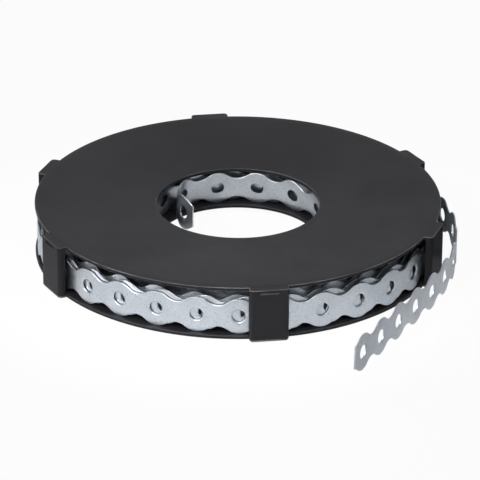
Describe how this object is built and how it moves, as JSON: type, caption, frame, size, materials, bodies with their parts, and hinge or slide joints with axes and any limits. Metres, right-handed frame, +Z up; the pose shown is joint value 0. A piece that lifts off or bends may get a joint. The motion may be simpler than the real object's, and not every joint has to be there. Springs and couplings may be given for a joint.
{
  "type": "perforated steel strap",
  "caption": "Coil of wavy perforated steel fixing strap in a flat black two-disc dispenser cassette, its free end run out beside it.",
  "frame": {"origin": "on the coil axis, at the level of the floor it lies on", "axes": "+Z up along the coil axis; -Y towards the camera of the picture; the free end leaves on the +X side and runs towards -Y"},
  "size_m": [0.1967, 0.2565, 0.0307],
  "materials": {
    "zinc": "zinc plated, satin",
    "plastic": "moulded, fine grain"
  },
  "bodies": {
    "root": {"coil": "zinc", "strap_outer": "zinc", "strap_free": "zinc", "strap_inner": "zinc", "posts": "plastic", "cassette_top": "plastic", "cassette_bottom": "plastic"}
  },
  "joints": []
}
